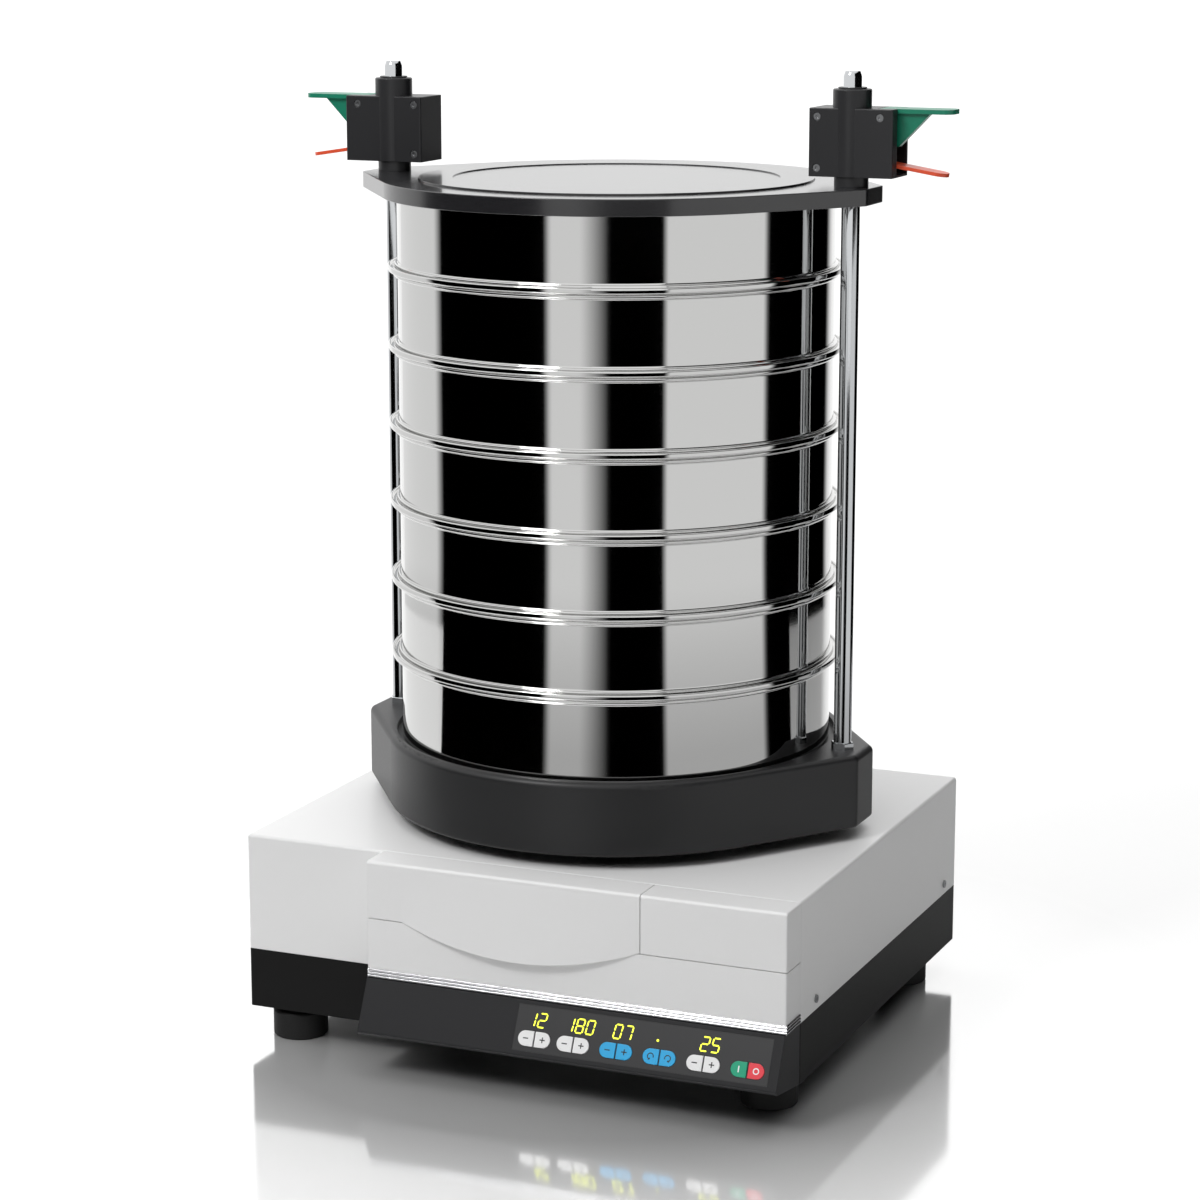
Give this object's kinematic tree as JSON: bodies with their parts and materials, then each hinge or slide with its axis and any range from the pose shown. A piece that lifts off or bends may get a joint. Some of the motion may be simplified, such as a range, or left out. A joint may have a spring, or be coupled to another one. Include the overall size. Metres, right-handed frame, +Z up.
{
  "type": "sieve shaker",
  "caption": "Bench sieve shaker: round test sieves and a pan stacked on a platform that circles on cranks, clamped by a plate on two tie rods, over a low housing with a sloping keypad.",
  "frame": {"origin": "on the floor under the feet, in the middle of the footprint", "axes": "+X to the right and +Y to the back as seen by the user, +Z up"},
  "size_m": [0.635, 0.5105, 0.887],
  "materials": {
    "cover_paint": "satin powder coat",
    "tray_paint": "black powder coat",
    "trim_metal": "polished",
    "panel_plastic": "fine texture",
    "overlay_film": "satin film",
    "board": "solder mask",
    "display_window": "dark window",
    "foot_rubber": "matte",
    "screw_steel": "zinc plated",
    "socket_plastic": "matte",
    "bridge_cast": "as cast",
    "bearing_steel": "ground",
    "motor_paint": "satin",
    "controller_metal": "anodised",
    "belt_rubber": "matte",
    "pulley_metal": "turned",
    "rocker_plastic": "gloss",
    "crank_steel": "turned",
    "counterweight_iron": "machined",
    "platform_paint": "satin black",
    "rod_chrome": "polished",
    "sieve_steel": "mirror polished stainless",
    "plate_anodised": "satin dark anodised",
    "unit_anodised": "black anodised",
    "lever_green": "semi gloss",
    "lever_red": "semi gloss",
    "key_white": "satin",
    "key_blue": "satin",
    "key_green": "satin",
    "key_red": "satin"
  },
  "bodies": {
    "base": {"chassis_tray": "tray_paint", "top_cover": "cover_paint", "fascia_nose": "cover_paint", "fascia_upper": "cover_paint", "fascia_lower": "cover_paint", "trim_strip": "trim_metal", "control_housing": "panel_plastic", "keypad_overlay": "overlay_film", "control_board": "board", "display_blocks": "display_window", "feet": "foot_rubber", "cover_screws": "screw_steel", "rear_connectors": "socket_plastic", "bearing_bridge": "bridge_cast", "main_bearings": "bearing_steel", "idler_bearings": "bearing_steel", "drive_motor": "motor_paint", "motor_controller": "controller_metal", "drive_belt": "belt_rubber"},
    "switch": {"mains_switch": "rocker_plastic"},
    "motor_shaft": {"motor_pulley": "pulley_metal"},
    "crank": {"main_crankshaft": "crank_steel", "crank_pulley": "pulley_metal", "counterweight": "counterweight_iron"},
    "idler_1": {"idler_crank_1": "crank_steel"},
    "idler_2": {"idler_crank_2": "crank_steel"},
    "idler_3": {"idler_crank_3": "crank_steel"},
    "platform": {"platform": "platform_paint", "platform_bearings": "bearing_steel", "tie_rods": "rod_chrome", "rod_nuts": "rod_chrome"},
    "pan": {"collecting_pan": "sieve_steel"},
    "sieve_6": {"sieve_6": "sieve_steel"},
    "sieve_5": {"sieve_5": "sieve_steel"},
    "sieve_4": {"sieve_4": "sieve_steel"},
    "sieve_3": {"sieve_3": "sieve_steel"},
    "sieve_2": {"sieve_2": "sieve_steel"},
    "sieve_1": {"sieve_1": "sieve_steel"},
    "clamp": {"clamp_plate": "plate_anodised", "lid_disc": "plate_anodised", "left_clamp_body": "unit_anodised", "right_clamp_body": "unit_anodised", "clamp_screws": "screw_steel"},
    "left_clamp_lever": {"left_clamp_lever": "lever_green"},
    "left_release_lever": {"left_release_lever": "lever_red"},
    "right_clamp_lever": {"right_clamp_lever": "lever_green"},
    "right_release_lever": {"right_release_lever": "lever_red"},
    "key_memory_down": {"key_memory_down": "key_white"},
    "key_memory_up": {"key_memory_up": "key_white"},
    "key_speed_down": {"key_speed_down": "key_white"},
    "key_speed_up": {"key_speed_up": "key_white"},
    "key_interval_down": {"key_interval_down": "key_blue"},
    "key_interval_up": {"key_interval_up": "key_blue"},
    "key_turn_left": {"key_turn_left": "key_blue"},
    "key_turn_right": {"key_turn_right": "key_blue"},
    "key_time_down": {"key_time_down": "key_white"},
    "key_time_up": {"key_time_up": "key_white"},
    "key_start": {"key_start": "key_green"},
    "key_stop": {"key_stop": "key_red"}
  },
  "joints": [
    {"name": "switch_tip", "type": "hinge", "parent": "base", "child": "switch", "pos_m": [0.138, 0.2495, 0.05775], "axis": [-1, 0, 0], "range_deg": [0, 14]},
    {"name": "crank_turn", "type": "hinge", "parent": "base", "child": "crank", "pos_m": [0, 0.012, 0.206], "axis": [0, 0, 1], "continuous": true},
    {"name": "motor_turn", "type": "hinge", "parent": "base", "child": "motor_shaft", "pos_m": [-0.155, 0.012, 0.128], "axis": [0, 0, 1], "continuous": true},
    {"name": "idler_1_turn", "type": "hinge", "parent": "base", "child": "idler_1", "pos_m": [-0.11691, -0.0555, 0.206], "axis": [0, 0, 1], "continuous": true},
    {"name": "idler_2_turn", "type": "hinge", "parent": "base", "child": "idler_2", "pos_m": [0.11691, -0.0555, 0.206], "axis": [0, 0, 1], "continuous": true},
    {"name": "idler_3_turn", "type": "hinge", "parent": "base", "child": "idler_3", "pos_m": [0, 0.147, 0.206], "axis": [0, 0, 1], "continuous": true},
    {"name": "platform_turn", "type": "hinge", "parent": "crank", "child": "platform", "pos_m": [0.00388, 0.02649, 0.243], "axis": [0, 0, 1], "continuous": true},
    {"name": "pan_lift", "type": "slide", "parent": "platform", "child": "pan", "axis": [0, 0, 1], "range_m": [0, 0.06]},
    {"name": "sieve_6_lift", "type": "slide", "parent": "pan", "child": "sieve_6", "axis": [0, 0, 1], "range_m": [0, 0.06]},
    {"name": "sieve_5_lift", "type": "slide", "parent": "sieve_6", "child": "sieve_5", "axis": [0, 0, 1], "range_m": [0, 0.06]},
    {"name": "sieve_4_lift", "type": "slide", "parent": "sieve_5", "child": "sieve_4", "axis": [0, 0, 1], "range_m": [0, 0.06]},
    {"name": "sieve_3_lift", "type": "slide", "parent": "sieve_4", "child": "sieve_3", "axis": [0, 0, 1], "range_m": [0, 0.06]},
    {"name": "sieve_2_lift", "type": "slide", "parent": "sieve_3", "child": "sieve_2", "axis": [0, 0, 1], "range_m": [0, 0.06]},
    {"name": "sieve_1_lift", "type": "slide", "parent": "sieve_2", "child": "sieve_1", "axis": [0, 0, 1], "range_m": [0, 0.06]},
    {"name": "clamp_lift", "type": "slide", "parent": "sieve_1", "child": "clamp", "axis": [0, 0, 1], "range_m": [0, 0.125]},
    {"name": "right_clamp_lever_press", "type": "hinge", "parent": "clamp", "child": "right_clamp_lever", "pos_m": [0.25938, 0.03149, 0.8475], "axis": [0, 1, 0], "range_deg": [0, 18], "stiffness_Nm_per_rad": 0.4, "springref_deg": -28.65},
    {"name": "right_release_lever_lift", "type": "hinge", "parent": "clamp", "child": "right_release_lever", "pos_m": [0.20938, 0.03149, 0.81462], "axis": [0, -1, 0], "range_deg": [0, 9], "stiffness_Nm_per_rad": 0.3, "springref_deg": -22.92},
    {"name": "left_clamp_lever_press", "type": "hinge", "parent": "clamp", "child": "left_clamp_lever", "pos_m": [-0.25162, 0.03149, 0.8475], "axis": [0, -1, 0], "range_deg": [0, 18], "stiffness_Nm_per_rad": 0.4, "springref_deg": -28.65},
    {"name": "left_release_lever_lift", "type": "hinge", "parent": "clamp", "child": "left_release_lever", "pos_m": [-0.20162, 0.03149, 0.81462], "axis": [0, 1, 0], "range_deg": [0, 9], "stiffness_Nm_per_rad": 0.3, "springref_deg": -22.92},
    {"name": "key_memory_down_press", "type": "slide", "parent": "base", "child": "key_memory_down", "axis": [0, 0.9044, -0.4268], "range_m": [0, 0.0004], "stiffness_N_per_m": 1000, "springref_m": -0.0005},
    {"name": "key_memory_up_press", "type": "slide", "parent": "base", "child": "key_memory_up", "axis": [0, 0.9044, -0.4268], "range_m": [0, 0.0004], "stiffness_N_per_m": 1000, "springref_m": -0.0005},
    {"name": "key_speed_down_press", "type": "slide", "parent": "base", "child": "key_speed_down", "axis": [0, 0.9044, -0.4268], "range_m": [0, 0.0004], "stiffness_N_per_m": 1000, "springref_m": -0.0005},
    {"name": "key_speed_up_press", "type": "slide", "parent": "base", "child": "key_speed_up", "axis": [0, 0.9044, -0.4268], "range_m": [0, 0.0004], "stiffness_N_per_m": 1000, "springref_m": -0.0005},
    {"name": "key_interval_down_press", "type": "slide", "parent": "base", "child": "key_interval_down", "axis": [0, 0.9044, -0.4268], "range_m": [0, 0.0004], "stiffness_N_per_m": 1000, "springref_m": -0.0005},
    {"name": "key_interval_up_press", "type": "slide", "parent": "base", "child": "key_interval_up", "axis": [0, 0.9044, -0.4268], "range_m": [0, 0.0004], "stiffness_N_per_m": 1000, "springref_m": -0.0005},
    {"name": "key_turn_left_press", "type": "slide", "parent": "base", "child": "key_turn_left", "axis": [0, 0.9044, -0.4268], "range_m": [0, 0.0004], "stiffness_N_per_m": 1000, "springref_m": -0.0005},
    {"name": "key_turn_right_press", "type": "slide", "parent": "base", "child": "key_turn_right", "axis": [0, 0.9044, -0.4268], "range_m": [0, 0.0004], "stiffness_N_per_m": 1000, "springref_m": -0.0005},
    {"name": "key_time_down_press", "type": "slide", "parent": "base", "child": "key_time_down", "axis": [0, 0.9044, -0.4268], "range_m": [0, 0.0004], "stiffness_N_per_m": 1000, "springref_m": -0.0005},
    {"name": "key_time_up_press", "type": "slide", "parent": "base", "child": "key_time_up", "axis": [0, 0.9044, -0.4268], "range_m": [0, 0.0004], "stiffness_N_per_m": 1000, "springref_m": -0.0005},
    {"name": "key_start_press", "type": "slide", "parent": "base", "child": "key_start", "axis": [0, 0.9044, -0.4268], "range_m": [0, 0.0004], "stiffness_N_per_m": 1000, "springref_m": -0.0005},
    {"name": "key_stop_press", "type": "slide", "parent": "base", "child": "key_stop", "axis": [0, 0.9044, -0.4268], "range_m": [0, 0.0004], "stiffness_N_per_m": 1000, "springref_m": -0.0005}
  ],
  "couplings": [
    {"joint": "platform_turn", "follows": "crank_turn", "ratio": -1},
    {"joint": "motor_turn", "follows": "crank_turn", "ratio": 3},
    {"joint": "idler_1_turn", "follows": "crank_turn", "ratio": 1},
    {"joint": "idler_2_turn", "follows": "crank_turn", "ratio": 1},
    {"joint": "idler_3_turn", "follows": "crank_turn", "ratio": 1}
  ]
}
